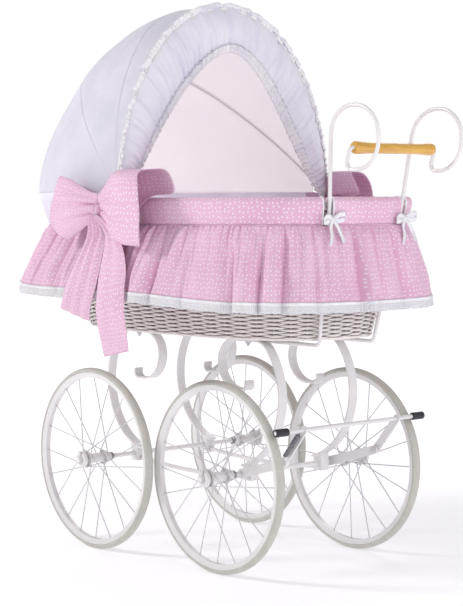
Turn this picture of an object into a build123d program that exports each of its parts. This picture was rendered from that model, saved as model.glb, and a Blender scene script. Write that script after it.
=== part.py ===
"""Baby cradle: a lined wicker basket with a folding voile hood on a spoked-wheel chassis.

Row frame, in millimetres: +Z up, floor at Z = 0, X = 0 and Y = 0 in the middle of the whole
cradle's box. +X points to the handle end, -X to the hood end. Left is -Y and right is +Y, as
seen by a person who pushes the cradle from the handle.
"""

import os
from math import asin, atan2, copysign, cos, degrees, hypot, pi, radians, sin

from build123d import *

# ---- Driving dimensions ----
mid_x = -12.5  # middle of the wheelbase; puts the box's middle at X = 0
half_wheelbase = 190.0

# Wheels
wheel_r = 200.0
tyre_half_width = 10.0
tyre_root_r = 181.0
rim_inner_r = 178.5
rim_edge_r = 190.0
rim_sheet = 1.6
spokes_per_flange = 10
spoke_r = 1.2
spoke_lacing = 72.0  # degrees that a spoke leads or trails its hub hole
hub_half_length = 40.0
barrel_r = 10.5
outer_flange_r = 19.0
inner_flange_r = 16.0
flange_near = 22.0
flange_far = 25.0
hub_cap_r = 17.0
hub_cap_near = 30.0
axle_r = 5.0
running_gap = 0.06
handle_half_track = 195.5
hood_half_track = 224.0

# Spring straps, lower rails and brake
strap_y = 102.0
strap_width = 22.0
strap_thickness = 4.5
leg_r = 153.5  # lower leg of the C
leg_middle = (133.5, 362.0)
leg_turn = 40.0  # degrees at which the leg runs into the shoulder
shoulder_r = 44.5
scroll_top_r = 48.5
scroll_r = 56.0
curl_r = 12.0
support_x = 183.0
rail_r = 4.5
rail_sag = 9.0
bracket_y = 128.0
brake_pivot = (324.0, 239.0)
brake_bar = (384.0, 311.0)
brake_bar_r = 4.5
pad_r = 8.0
pad_length = 34.0

# Basket
outline_power = 2.7  # superellipse exponent of every basket outline
floor_z = 483.0
wall_top_z = 748.0
rim_z = 762.0
floor_half_length = 376.0
floor_half_width = 191.0
floor_middle = -8.0  # middle of the basket's floor from the wheelbase's middle
rim_half_length = 452.0
rim_half_width = 269.0
rim_middle = -22.0
wall = 8.0
border_proud = 3.0  # border's and textiles' reach outside the wall
border_top_z = 764.0

# Textiles
band_bottom_z = 716.0
band_top_z = 771.0
band_proud = 11.0
skirt_proud = 17.0
hem_z = 541.0
hem_half_length = 517.0
hem_half_width = 332.0
hem_middle = -34.0
lace_top_z = 562.0
cloth = 4.0
mattress_thickness = 60.0

# Handle
wire_r = 4.0
grip_x = 500.0
grip_z = 867.0
grip_half_length = 112.5
grip_r = 10.8
grip_end_r = 12.5

# Hood
pivot_x = 5.0
pivot_z = 785.0
hoop_r = 2.4
eye_r = 8.0
pivot_pin_r = 3.0
# name: half width at the pivots, height, lean back from upright in degrees
hoops = {
    "front": (299.5, 393.0, 0.0),
    "middle": (293.5, 412.0, 14.0),
    "rear": (287.5, 464.0, 50.0),
}
crown_share = 0.77  # crown radius of a hoop over its half width

sides = {"left": -1, "right": 1}
ends = {"hood": -1, "handle": 1}

os.makedirs("parts", exist_ok=True)


def write(piece, name):
    """Labels a finished piece and writes its STEP file."""
    piece.part.label = name
    export_step(piece.part, f"parts/{name}.step")


def lerp(a, b, share):
    return a + (b - a) * share


def wall_outline(z, grow=0.0):
    """Half length, half width and middle X of the basket's outer wall at height z, grown outward."""
    share = (z - floor_z) / (rim_z - floor_z)
    return (
        lerp(floor_half_length, rim_half_length, share) + grow,
        lerp(floor_half_width, rim_half_width, share) + grow,
        mid_x + lerp(floor_middle, rim_middle, share),
    )


def skirt_outline(z, grow=0.0):
    """Outer outline of the flared skirt at height z."""
    share = (band_bottom_z - z) / (band_bottom_z - hem_z)
    top = wall_outline(band_bottom_z, skirt_proud)
    return (
        lerp(top[0], hem_half_length, share) + grow,
        lerp(top[1], hem_half_width, share) + grow,
        lerp(top[2], mid_x + hem_middle, share),
    )


def oval(half_length, half_width, middle, count=32):
    """Closed superellipse in the sketch plane."""
    points = []
    for i in range(count):
        c, s = cos(2 * pi * i / count), sin(2 * pi * i / count)
        x = copysign(abs(c) ** (2 / outline_power), c)
        y = copysign(abs(s) ** (2 / outline_power), s)
        points.append((middle + half_length * x, half_width * y))
    Spline(*points, periodic=True)


def oval_loft(low_z, low, high_z, high, mode=Mode.ADD):
    """Solid between two superellipses, each (half length, half width, middle X)."""
    sections = []
    for z, outline in ((low_z, low), (high_z, high)):
        with BuildSketch(Plane.XY.offset(z)) as section:
            with BuildLine():
                oval(*outline)
            make_face()
        sections.append(section.sketch)
    loft(sections, mode=mode)


def side_plane(y):
    """XZ plane at this Y, seen from -Y: sketch x is X, sketch y is Z, extrusion goes to -Y."""
    return Plane(origin=(0, y, 0), x_dir=(1, 0, 0), z_dir=(0, -1, 0))


def rod(start, end, radius, mode=Mode.ADD):
    """Round bar between two points."""
    run = Vector(*end) - Vector(*start)
    with BuildSketch(Plane(origin=start, z_dir=run)) as section:
        Circle(radius)
    extrude(section.sketch, amount=run.length, mode=mode)


# ---- Wheels ----
def wheel_profile(x, points):
    """Revolves a half section of (radius, offset along the axle) about a wheel's axle."""
    with BuildSketch(Plane(origin=(x, 0, wheel_r))) as section:
        with BuildLine():
            Polyline(*points, close=True)
        make_face()
    revolve(section.sketch, axis=Axis((x, 0, wheel_r), (0, 1, 0)))


def build_wheel(name, x, y, side):
    """Tyre, channel rim, crossed spokes and hub of one wheel; y is its middle plane."""
    w = tyre_half_width
    with BuildPart() as tyre:
        with BuildSketch(Plane(origin=(x, y, wheel_r))):
            with BuildLine():
                Polyline((tyre_root_r, 3.4), (190.3, 6.8), (190.3, w - 0.4), (193.5, w))
                ThreePointArc((193.5, w), (wheel_r, 0), (193.5, -w))
                Polyline((193.5, -w), (190.3, 0.4 - w), (190.3, -6.8), (tyre_root_r, -3.4))
                Line((tyre_root_r, -3.4), (tyre_root_r, 3.4))
            make_face()
        revolve(axis=Axis((x, y, wheel_r), (0, 1, 0)))
    write(tyre, f"tyre_{name}")

    with BuildPart() as rim:
        base, lip = 5.4, 9.0
        channel = [
            (rim_inner_r, y - base),
            (rim_inner_r, y + base),
            (rim_edge_r, y + lip),
            (rim_edge_r, y + lip - rim_sheet),
            (rim_inner_r + rim_sheet, y + base - rim_sheet),
            (rim_inner_r + rim_sheet, y - base + rim_sheet),
            (rim_edge_r, y - lip + rim_sheet),
            (rim_edge_r, y - lip),
        ]
        wheel_profile(x, channel)
    write(rim, f"rim_{name}")

    with BuildPart() as hub:
        section = [
            (axle_r + running_gap, -hub_half_length),
            (barrel_r - 1.5, -hub_half_length),
            (barrel_r, -hub_half_length + 1.5),
            (barrel_r, -flange_far),
            (inner_flange_r, -flange_far),
            (inner_flange_r, -flange_near),
            (barrel_r, -flange_near),
            (barrel_r, flange_near),
            (outer_flange_r, flange_near),
            (outer_flange_r, flange_far),
            (12.0, flange_far),
            (12.0, hub_cap_near),
            (hub_cap_r - 1.5, hub_cap_near),
            (hub_cap_r, hub_cap_near + 1.5),
            (hub_cap_r, hub_half_length - 3),
            (hub_cap_r - 3, hub_half_length),
            (axle_r + running_gap, hub_half_length),
        ]
        wheel_profile(x, [(r, y + side * offset) for r, offset in section])
    write(hub, f"hub_{name}")

    with BuildPart() as spokes:
        gap = spoke_r + 1.4
        step = 360 / spokes_per_flange
        for flange, hole_r in ((1, outer_flange_r - 3), (-1, inner_flange_r - 3)):
            for i in range(spokes_per_flange):
                outward = i % 2 == 0
                offset = flange * (flange_far + gap if outward else flange_near - gap)
                hole = radians(i * step + (0 if flange > 0 else step / 2))
                nipple = hole + radians(spoke_lacing if outward else -spoke_lacing)
                reach = rim_inner_r - 0.4
                rod(
                    (x + hole_r * cos(hole), y + side * offset, wheel_r + hole_r * sin(hole)),
                    (x + reach * cos(nipple), y, wheel_r + reach * sin(nipple)),
                    spoke_r,
                )
    write(spokes, f"spokes_{name}")


for end, end_sign in ends.items():
    half_track = handle_half_track if end == "handle" else hood_half_track
    axle_x = mid_x + end_sign * half_wheelbase
    for side_name, side in sides.items():
        build_wheel(f"{end}_{side_name}", axle_x, side * half_track, side)
    axle_half = half_track + hub_half_length + 6
    with BuildPart() as axle:
        rod((axle_x, -axle_half, wheel_r), (axle_x, axle_half, wheel_r), axle_r)
    write(axle, f"axle_{end}_end")

with BuildPart() as axle_nuts:
    for end, end_sign in ends.items():
        half_track = handle_half_track if end == "handle" else hood_half_track
        for side in sides.values():
            face = side * (half_track - hub_half_length - 0.5)
            x = mid_x + end_sign * half_wheelbase
            with BuildSketch(Plane(origin=(x, face, wheel_r), z_dir=(0, -side, 0))):
                RegularPolygon(9, 6)
                Circle(axle_r, mode=Mode.SUBTRACT)
            extrude(amount=7)
write(axle_nuts, "axle_nuts")

with BuildPart() as axle_clips:
    for end, end_sign in ends.items():
        half_track = handle_half_track if end == "handle" else hood_half_track
        for side in sides.values():
            face = side * (half_track + hub_half_length + 0.5)
            x = mid_x + end_sign * half_wheelbase
            with BuildSketch(Plane(origin=(x, face, wheel_r), x_dir=(1, 0, 0), z_dir=(0, side, 0))):
                Circle(9)
                with Locations((0, -side * 14)):
                    Rectangle(7, 12)
                Circle(axle_r, mode=Mode.SUBTRACT)
            extrude(amount=2)
write(axle_clips, "axle_clips")


# ---- Spring straps ----
shift = leg_r - shoulder_r
shoulder = (
    leg_middle[0] + shift * cos(radians(leg_turn)),
    leg_middle[1] + shift * sin(radians(leg_turn)),
)
strap_top_z = shoulder[1] + shoulder_r
scroll_top = (100 + scroll_top_r, strap_top_z - scroll_top_r)
scroll = (100 + scroll_r, scroll_top[1])
curl = (scroll[0] + 20, scroll[1] - scroll_r + curl_r)


def strap_line(end_sign):
    """Centre line of one spring strap in the XZ plane: leg, shoulder, flat, scroll and curl."""

    def at(px, pz):
        return (mid_x + end_sign * px, pz)

    def on_circle(middle, radius, angle):
        return at(middle[0] + radius * cos(radians(angle)), middle[1] + radius * sin(radians(angle)))

    def arc(middle, radius, start, stop):
        ThreePointArc(*(on_circle(middle, radius, a) for a in (start, (start + stop) / 2, stop)))

    arc(leg_middle, leg_r, -76, leg_turn)
    arc(shoulder, shoulder_r, leg_turn, 90)
    Line(at(shoulder[0], strap_top_z), at(scroll_top[0], strap_top_z))
    arc(scroll_top, scroll_top_r, 90, 180)
    arc(scroll, scroll_r, 180, 270)
    Line(at(scroll[0], scroll[1] - scroll_r), at(curl[0], curl[1] - curl_r))
    arc(curl, curl_r, -90, 40)


for end, end_sign in ends.items():
    for side_name, side in sides.items():
        with BuildPart() as strap:
            with BuildSketch(side_plane(side * strap_y)):
                with BuildLine():
                    strap_line(end_sign)
                trace(line_width=strap_thickness)
            extrude(amount=strap_width / 2, both=True)
            with Locations((mid_x + end_sign * support_x, side * strap_y, strap_top_z)):
                Cylinder(3.2, 3 * strap_thickness, mode=Mode.SUBTRACT)
        write(strap, f"spring_{end}_{side_name}")

# The saddle fills the space between the axle and the strap, whose underside is an arc there
saddle_half = 12.0
saddle_low_z = 184.0
saddle_high_z = 232.0
with BuildPart() as saddles:
    for end_sign in ends.values():
        x = mid_x + end_sign * half_wheelbase
        leg_centre = (mid_x + end_sign * leg_middle[0], leg_middle[1])
        for side in sides.values():
            with BuildSketch(side_plane(side * strap_y)):
                with Locations((x, (saddle_low_z + saddle_high_z) / 2)):
                    Rectangle(2 * saddle_half, saddle_high_z - saddle_low_z)
                with Locations(leg_centre):
                    Circle(leg_r + strap_thickness / 2, mode=Mode.SUBTRACT)
                with Locations((x, wheel_r)):
                    Circle(axle_r, mode=Mode.SUBTRACT)
            extrude(amount=strap_width / 2, both=True)
write(saddles, "axle_saddles")

rail_reach = half_wheelbase - saddle_half - 0.5
rail_z = wheel_r - axle_r - rail_r - 0.5
rail_bend = (rail_reach**2 + rail_sag**2) / (2 * rail_sag)
rail_low = rail_z - rail_sag
with BuildPart() as lower_rails:
    for side in sides.values():
        with BuildSketch(Plane(origin=(mid_x, side * strap_y, rail_low), z_dir=(1, 0, 0))):
            Circle(rail_r)
        middle = Axis((mid_x, side * strap_y, rail_low + rail_bend), (0, -1, 0))
        revolve(axis=middle, revolution_arc=degrees(asin(rail_reach / rail_bend)))
    mirror(about=Plane(origin=(mid_x, 0, 0), z_dir=(1, 0, 0)))
write(lower_rails, "lower_rails")

# Bars across the straps carry the basket; studs hold board, basket, bar and strap together
strap_face_z = strap_top_z + strap_thickness / 2
board_top_z = floor_z + wall + 5.2
with BuildPart() as cross_supports:
    for end_sign in ends.values():
        x = mid_x + end_sign * support_x
        with Locations((x, 0, (strap_face_z + floor_z) / 2)):
            Box(30, 2 * strap_y + 32, floor_z - strap_face_z)
    with Locations((mid_x, 0, floor_z)):
        with GridLocations(2 * support_x, 2 * strap_y, 2, 2):
            Cylinder(3.2, 20, mode=Mode.SUBTRACT)
write(cross_supports, "cross_supports")

with BuildPart() as studs:
    nut_z = strap_top_z - strap_thickness / 2 - 5
    with BuildSketch(Plane.XY.offset(nut_z - 5)):
        with Locations((mid_x, 0)):
            with GridLocations(2 * support_x, 2 * strap_y, 2, 2):
                Circle(3)
    extrude(amount=board_top_z - 0.3 - nut_z + 5)
    with BuildSketch(Plane.XY.offset(nut_z)):
        with Locations((mid_x, 0)):
            with GridLocations(2 * support_x, 2 * strap_y, 2, 2):
                RegularPolygon(6.5, 6)
    extrude(amount=5)
write(studs, "basket_studs")


# ---- Brake ----
def link(start, end, start_r, end_r):
    """Flat bar outline with round ends, drawn in the current sketch."""
    with Locations(start):
        Circle(start_r)
    with Locations(end):
        Circle(end_r)
    make_hull()


pivot = (mid_x + brake_pivot[0], brake_pivot[1])
bar = (mid_x + brake_bar[0], brake_bar[1])
handle_axle_x = mid_x + half_wheelbase
bracket_half = 2.5
lever_near = bracket_y + bracket_half + 0.5
lever_thickness = 4.5
lever_far = lever_near + lever_thickness

with BuildPart() as brackets:
    for side in sides.values():
        with BuildSketch(side_plane(side * bracket_y)):
            link((handle_axle_x, wheel_r), pivot, 10, 9)
            with Locations((handle_axle_x, wheel_r)):
                Circle(axle_r, mode=Mode.SUBTRACT)
            with Locations(pivot):
                Circle(3, mode=Mode.SUBTRACT)
        extrude(amount=bracket_half, both=True)
write(brackets, "brake_brackets")

for side_name, side in sides.items():
    with BuildPart() as lever:
        with BuildSketch(side_plane(side * (lever_near + lever_far) / 2)):
            link(pivot, bar, 9, 8)
            with Locations(pivot):
                Circle(3 + running_gap, mode=Mode.SUBTRACT)
            with Locations(bar):
                Circle(brake_bar_r, mode=Mode.SUBTRACT)
        extrude(amount=lever_thickness / 2, both=True)
    write(lever, f"brake_lever_{side_name}")

with BuildPart() as pads:
    with BuildSketch(side_plane(handle_half_track + pad_length / 2)):
        with Locations(bar):
            Circle(pad_r)
            Circle(brake_bar_r, mode=Mode.SUBTRACT)
    extrude(amount=pad_length)
    mirror(about=Plane.XZ)
    rims = pads.edges().filter_by(GeomType.CIRCLE).filter_by(lambda edge: edge.radius > pad_r - 1)
    fillet(rims, 2.5)
write(pads, "brake_pads")

bar_half = handle_half_track + pad_length / 2 - 1
with BuildPart() as brake_crossbar:
    rod((bar[0], -bar_half, bar[1]), (bar[0], bar_half, bar[1]), brake_bar_r)
write(brake_crossbar, "brake_crossbar")

with BuildPart() as pivot_bolts:
    for side in sides.values():
        inner = side * (bracket_y - bracket_half)
        outer = side * (lever_far + 0.5)
        rod((pivot[0], inner - side * 4, pivot[1]), (pivot[0], inner, pivot[1]), 5.5)
        rod((pivot[0], inner, pivot[1]), (pivot[0], outer, pivot[1]), 3)
        rod((pivot[0], outer, pivot[1]), (pivot[0], outer + side * 4, pivot[1]), 5.5)
write(pivot_bolts, "brake_pivot_bolts")

# The tension spring lies along the left lever, from its foot to the crossbar
spring_y = -(lever_far + 6.5)
lever_run = hypot(bar[0] - pivot[0], bar[1] - pivot[1])


def along_lever(distance):
    share = distance / lever_run
    return (lerp(pivot[0], bar[0], share), spring_y, lerp(pivot[1], bar[1], share))


with BuildPart() as brake_spring:
    rod(along_lever(12), along_lever(lever_run - brake_bar_r - 0.5), 5)
write(brake_spring, "brake_spring")

# ---- Basket ----
with BuildPart() as basket:
    oval_loft(floor_z, wall_outline(floor_z), wall_top_z, wall_outline(wall_top_z))
    cavity_z = floor_z + wall
    oval_loft(
        cavity_z,
        wall_outline(cavity_z, -wall),
        wall_top_z,
        wall_outline(wall_top_z, -wall),
        mode=Mode.SUBTRACT,
    )
    with Locations((mid_x, 0, floor_z)):
        with GridLocations(2 * support_x, 2 * strap_y, 2, 2):
            Cylinder(3.2, 4 * wall, mode=Mode.SUBTRACT)
write(basket, "wicker_basket")

with BuildPart() as border:
    low, high = wall_top_z + 0.2, border_top_z
    oval_loft(low, wall_outline(low, border_proud), high, wall_outline(high, border_proud))
    inner = -wall - border_proud
    oval_loft(low, wall_outline(low, inner), high, wall_outline(high, inner), mode=Mode.SUBTRACT)
write(border, "wicker_border")

with BuildPart() as board:
    with BuildSketch(Plane.XY.offset(floor_z + wall + 0.2)):
        with BuildLine():
            oval(*wall_outline(floor_z + wall, -2 * wall - 1))
        make_face()
        with Locations((mid_x, 0)):
            with GridLocations(2 * support_x, 2 * strap_y, 2, 2):
                Circle(3.2, mode=Mode.SUBTRACT)
    extrude(amount=5)
write(board, "base_board")

with BuildPart() as mattress:
    with BuildSketch(Plane.XY.offset(board_top_z + 0.3)):
        with BuildLine():
            oval(*wall_outline(floor_z + wall, -2 * wall - 2))
        make_face()
    extrude(amount=mattress_thickness)
    fillet(mattress.edges(), 10)
write(mattress, "mattress")

# ---- Textiles round the basket ----
with BuildPart() as liner:
    low, high = floor_z + wall + 0.5, band_bottom_z - 2
    oval_loft(low, wall_outline(low, -wall - 0.5), high, wall_outline(high, -wall - 0.5))
    inner = -wall - 6.5
    oval_loft(low, wall_outline(low, inner), high, wall_outline(high, inner), mode=Mode.SUBTRACT)
write(liner, "padded_liner")

# The band wraps the rim: outer fall, cap over the border, inner fall
slot_y = 104.0
slot_half = 14.0
with BuildPart() as band:
    low, cap, high = band_bottom_z, border_top_z + 0.4, band_top_z
    oval_loft(low, wall_outline(low, band_proud), high, wall_outline(high, band_proud))
    outer = border_proud + 1
    oval_loft(low, wall_outline(low, outer), cap, wall_outline(cap, outer), mode=Mode.SUBTRACT)
    oval_loft(low, wall_outline(low, -12), cap, wall_outline(cap, -12))
    oval_loft(low, wall_outline(low, -19), high, wall_outline(high, -19), mode=Mode.SUBTRACT)
    with Locations((mid_x + 438, 0, (low + high) / 2)):
        with GridLocations(1, 2 * slot_y, 1, 2):
            Box(60, 2 * slot_half, 2 * (high - low), mode=Mode.SUBTRACT)
write(band, "rim_band")

with BuildPart() as skirt:
    low, high = lace_top_z + 0.3, band_bottom_z - 0.4
    oval_loft(low, skirt_outline(low), high, skirt_outline(high))
    oval_loft(low, skirt_outline(low, -cloth), high, skirt_outline(high, -cloth), mode=Mode.SUBTRACT)
write(skirt, "skirt")

with BuildPart() as lace:
    low, high = hem_z, lace_top_z
    oval_loft(low, skirt_outline(low), high, skirt_outline(high))
    oval_loft(low, skirt_outline(low, -cloth), high, skirt_outline(high, -cloth), mode=Mode.SUBTRACT)
write(lace, "hem_lace")

# ---- Bows and ties ----
knot = (-38, 745)
knot_face = 287.2
bow_face = 313.0
tail_face = 334.0
tail_thickness = 4.0
hood_side_loop = [
    (-16, 783),
    (-60, 789),
    (-95, 802),
    (-170, 820),
    (-178, 780),
    (-194, 722),
    (-169, 694),
    (-147, 684),
    (-54, 735),
    (-16, 731),
]
handle_side_loop = [
    (-30, 729),
    (-5, 725),
    (12, 703),
    (28, 687),
    (62, 677),
    (108, 674),
    (118, 720),
    (106, 818),
    (24, 831),
    (6, 809),
    (-30, 787),
]
long_tail = [
    (-44, 742),
    (-2, 721),
    (32, 673),
    (52, 626),
    (70, 532),
    (80, 462),
    (-1, 446),
    (-24, 527),
    (-34, 597),
    (-30, 665),
]
short_tail = [
    (-54, 742),
    (-20, 717),
    (-30, 609),
    (-42, 517),
    (-145, 540),
    (-137, 593),
    (-111, 643),
    (-74, 700),
]


def outline_on(points):
    """Closed outline through points given as X from the wheelbase's middle and height."""
    Polyline(*((mid_x + x, z) for x, z in points), close=True)


for side_name, side in sides.items():
    with BuildPart() as bow:
        for loop in (hood_side_loop, handle_side_loop):
            with BuildSketch(side_plane(side * (bow_face + tail_face + tail_thickness) / 2)):
                with BuildLine():
                    outline_on(loop)
                make_face()
            extrude(amount=(tail_face + tail_thickness - bow_face) / 2, both=True)
        for tail in (long_tail, short_tail):
            with BuildSketch(side_plane(side * (tail_face + tail_thickness / 2))):
                with BuildLine():
                    outline_on(tail)
                make_face()
            extrude(amount=tail_thickness / 2, both=True)
        with Locations((mid_x + knot[0], side * (knot_face + bow_face + 8) / 2, knot[1])):
            Box(20, bow_face - knot_face + 8, 14)
    write(bow, f"bow_{side_name}")

tie_x = mid_x + 442.0
tie_z = 728.0
tie_bow = [(-18, 12), (-18, -10), (0, -3), (18, -10), (18, 12), (0, 4)]
tie_tails = [(-3, 0), (-15, -42), (-7, -45), (0, -12), (7, -45), (15, -42), (3, 0)]
with BuildPart() as ties:
    for side in sides.values():
        tie_plane = Plane(origin=(tie_x, side * 101, tie_z), x_dir=(0, 1, 0), z_dir=(1, 0, 0))
        for shape in (tie_bow, tie_tails):
            with BuildSketch(tie_plane):
                with BuildLine():
                    Polyline(*shape, close=True)
                make_face()
            extrude(amount=4)
        with Locations((tie_x - 8, side * 101, tie_z)):
            Box(16, 10, 9)
write(ties, "ribbon_ties")

# ---- Handle ----
wire_run_z = strap_face_z - wire_r - 0.3
for side_name, side in sides.items():
    route = [
        (175, 78, wire_run_z),
        (370, 78, wire_run_z),
        (427, 104, 768),
        (447, 120, 948),
        (572, 119, 948),
        (572, 117, 824),
        (484, 119, 824),
        (grip_x, 121, grip_z),
        (grip_x, 92, grip_z),
    ]
    bends = [12, 400, 64, 60, 58, 14, 8]
    points = [(mid_x + x, side * y, z) for x, y, z in route]
    with BuildPart() as wire:
        with BuildLine() as wire_line:
            FilletPolyline(*points, radius=bends)
        with BuildSketch(Plane(origin=points[0], z_dir=(1, 0, 0))):
            Circle(wire_r)
        sweep(path=wire_line.wire())
    write(wire, f"handle_wire_{side_name}")

with BuildPart() as grip:
    bore = wire_r + running_gap + 0.02
    bore_depth = 30.0
    half = grip_half_length
    with BuildSketch(Plane(origin=(mid_x + grip_x, 0, grip_z))):
        with BuildLine():
            Polyline((0, 0), (grip_r - 0.8, 0), (grip_r, 1.2), (grip_r, half - 55))
            Spline(
                (grip_r, half - 55),
                (grip_end_r, half - 14),
                (grip_end_r - 3.5, half),
                tangents=((0, 1), (-0.9, 0.5)),
            )
            depth = half - bore_depth
            Polyline((grip_end_r - 3.5, half), (bore, half), (bore, depth), (0, depth), (0, 0))
        make_face()
    revolve(axis=Axis((mid_x + grip_x, 0, grip_z), (0, 1, 0)))
    mirror(about=Plane.XZ)
write(grip, "wooden_grip")


# ---- Hood ----
hood_axis = (mid_x + pivot_x, 0, pivot_z)


def hoop_plane(lean):
    """Plane of a hoop through the pivot axis: sketch x is Y, sketch y runs up the hoop."""
    back = radians(lean)
    return Plane(origin=hood_axis, x_dir=(0, 1, 0), z_dir=(cos(back), 0, sin(back)))


def arch(half_width, height):
    """Upper half of a three-centred oval from one foot to the other, in the current line."""
    crown = crown_share * half_width
    lift = height - crown
    flank = (half_width**2 - crown**2 + lift**2) / (2 * (half_width - crown))
    turn = degrees(atan2(lift, flank - half_width))
    start = (half_width, 0)
    JernArc(start=start, tangent=(0, 1), radius=flank, arc_size=turn)
    along = radians(turn)
    joint = (half_width - flank + flank * cos(along), flank * sin(along))
    JernArc(start=joint, tangent=(-sin(along), cos(along)), radius=crown, arc_size=180 - 2 * turn)
    JernArc(
        start=(-joint[0], joint[1]),
        tangent=(-sin(along), -cos(along)),
        radius=flank,
        arc_size=turn,
    )


eye_thickness = 5.0
for name, (half_width, height, lean) in hoops.items():
    with BuildPart() as hoop:
        with BuildLine(hoop_plane(lean)) as hoop_line:
            arch(half_width, height)
        foot = hoop_line.wire() @ 0
        with BuildSketch(Plane(origin=foot, z_dir=hoop_line.wire() % 0)):
            Circle(hoop_r)
        sweep(path=hoop_line.wire())
        for side in sides.values():
            eye_middle = (hood_axis[0], side * half_width, pivot_z)
            with Locations(Location(eye_middle, (90, 0, 0))):
                Cylinder(eye_r, eye_thickness)
                Cylinder(pivot_pin_r + running_gap, 2 * eye_thickness, mode=Mode.SUBTRACT)
    write(hoop, f"hood_hoop_{name}")

bracket_face = 282.8
with BuildPart() as hood_brackets:
    for side in sides.values():
        with BuildSketch(side_plane(side * (bracket_face + 1))):
            with Locations((hood_axis[0], 0)):
                with Locations((0, pivot_z)):
                    Circle(9)
                with Locations((0, 757)):
                    Rectangle(18, 56)
                with Locations((0, pivot_z)):
                    Circle(pivot_pin_r, mode=Mode.SUBTRACT)
        extrude(amount=1, both=True)
write(hood_brackets, "hood_brackets")

pin_far = hoops["front"][0] + eye_thickness / 2 + 0.5
with BuildPart() as hood_pivots:
    for side in sides.values():
        x = hood_axis[0]
        near, far = side * bracket_face, side * pin_far
        rod((x, near, pivot_z), (x, far, pivot_z), pivot_pin_r)
        rod((x, far, pivot_z), (x, far + side * 3, pivot_z), 7)
write(hood_pivots, "hood_pivot_pins")

# Voile panels stretch between neighbouring hoops, clear of the wires
panel_clear = 3.6
voile = 2.0
panel_foot = 40.0


def panel_section(half_width, height, lean):
    """Thin arched strip in a hoop's plane, its feet cut off above the pivots."""
    with BuildSketch(hoop_plane(lean)) as section:
        with BuildLine():
            arch(half_width + panel_clear + voile, height + panel_clear + voile)
            Line((-half_width - panel_clear - voile, 0), (half_width + panel_clear + voile, 0))
        make_face()
        with BuildLine():
            arch(half_width + panel_clear, height + panel_clear)
            Line((-half_width - panel_clear, 0), (half_width + panel_clear, 0))
        make_face(mode=Mode.SUBTRACT)
        with Locations((0, panel_foot / 2)):
            Rectangle(3 * half_width, panel_foot, mode=Mode.SUBTRACT)
    return section.sketch


base_reach = 492.0
panels = {
    "front": (hoops["front"], hoops["middle"]),
    "middle": (hoops["middle"], hoops["rear"]),
    "rear": (hoops["rear"], (287.5, 482.0, 70.0), (287.5, base_reach, 90.0)),
}
for name, sections in panels.items():
    with BuildPart() as panel:
        loft([panel_section(*section) for section in sections])
    write(panel, f"hood_canopy_{name}")

# The gathered ruffle stands in front of the front hoop
ruffle_offset = 14.0
with BuildPart() as ruffle:
    with BuildSketch(hoop_plane(0).offset(ruffle_offset)):
        with BuildLine():
            arch(303, 412)
            Line((-303, 0), (303, 0))
        make_face()
        with BuildLine():
            arch(248, 312)
            Line((-248, 0), (248, 0))
        make_face(mode=Mode.SUBTRACT)
    extrude(amount=6)
write(ruffle, "hood_ruffle")

# The hood's lower edge hangs over the band round the hood end
hood_hem_top = 776.0
with BuildPart() as hood_hem:
    low, high = band_bottom_z + 3, hood_hem_top
    oval_loft(low, wall_outline(low, band_proud + 4), high, wall_outline(high, band_proud + 4))
    inner = band_proud + 1
    oval_loft(low, wall_outline(low, inner), high, wall_outline(high, inner), mode=Mode.SUBTRACT)
    split(bisect_by=Plane(origin=(hood_axis[0] - 16, 0, 0), z_dir=(1, 0, 0)), keep=Keep.BOTTOM)
write(hood_hem, "hood_hem")
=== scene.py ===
from math import atan2, ceil, cos, pi, radians, sin

import bpy
import numpy as np
from mathutils import Matrix


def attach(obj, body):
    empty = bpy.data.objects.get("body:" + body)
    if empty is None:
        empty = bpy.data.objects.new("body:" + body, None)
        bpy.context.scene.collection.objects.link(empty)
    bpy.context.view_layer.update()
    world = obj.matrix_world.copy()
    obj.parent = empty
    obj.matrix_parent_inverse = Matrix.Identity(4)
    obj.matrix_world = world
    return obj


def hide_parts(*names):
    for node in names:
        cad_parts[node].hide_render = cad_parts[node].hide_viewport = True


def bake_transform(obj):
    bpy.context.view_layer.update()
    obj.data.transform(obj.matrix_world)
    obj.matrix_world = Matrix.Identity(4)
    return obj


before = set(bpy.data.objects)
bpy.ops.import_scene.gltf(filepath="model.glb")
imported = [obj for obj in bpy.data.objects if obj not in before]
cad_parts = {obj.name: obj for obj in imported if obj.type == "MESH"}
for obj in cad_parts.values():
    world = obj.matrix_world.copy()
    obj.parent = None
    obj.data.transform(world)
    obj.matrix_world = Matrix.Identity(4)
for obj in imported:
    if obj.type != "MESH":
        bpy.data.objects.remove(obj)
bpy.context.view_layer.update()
rng = np.random.default_rng(11)

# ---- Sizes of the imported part, in metres ----
MID = -0.0125  # middle of the wheelbase
FLOOR_Z, RIM_Z = 0.483, 0.762  # where the basket's wall begins and ends
POWER = 2.7  # superellipse exponent of the basket's outlines
BAND_LOW = 0.716
HEM = 0.541
LACE_TOP = 0.562
PIVOT_X = MID + 0.005
PIVOT_Z = 0.785
# lean back from upright in degrees, half width and height of the cloth over each hoop
HOODS = np.array([(0, 0.3035, 0.397), (14, 0.2975, 0.416), (50, 0.2915, 0.468), (70, 0.291, 0.487),
    (90, 0.291, 0.499)])


def lerp(a, b, share):
    return a + (b - a) * share


def ease(x):
    x = np.clip(x, 0, 1)
    return x * x * (3 - 2 * x)


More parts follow.
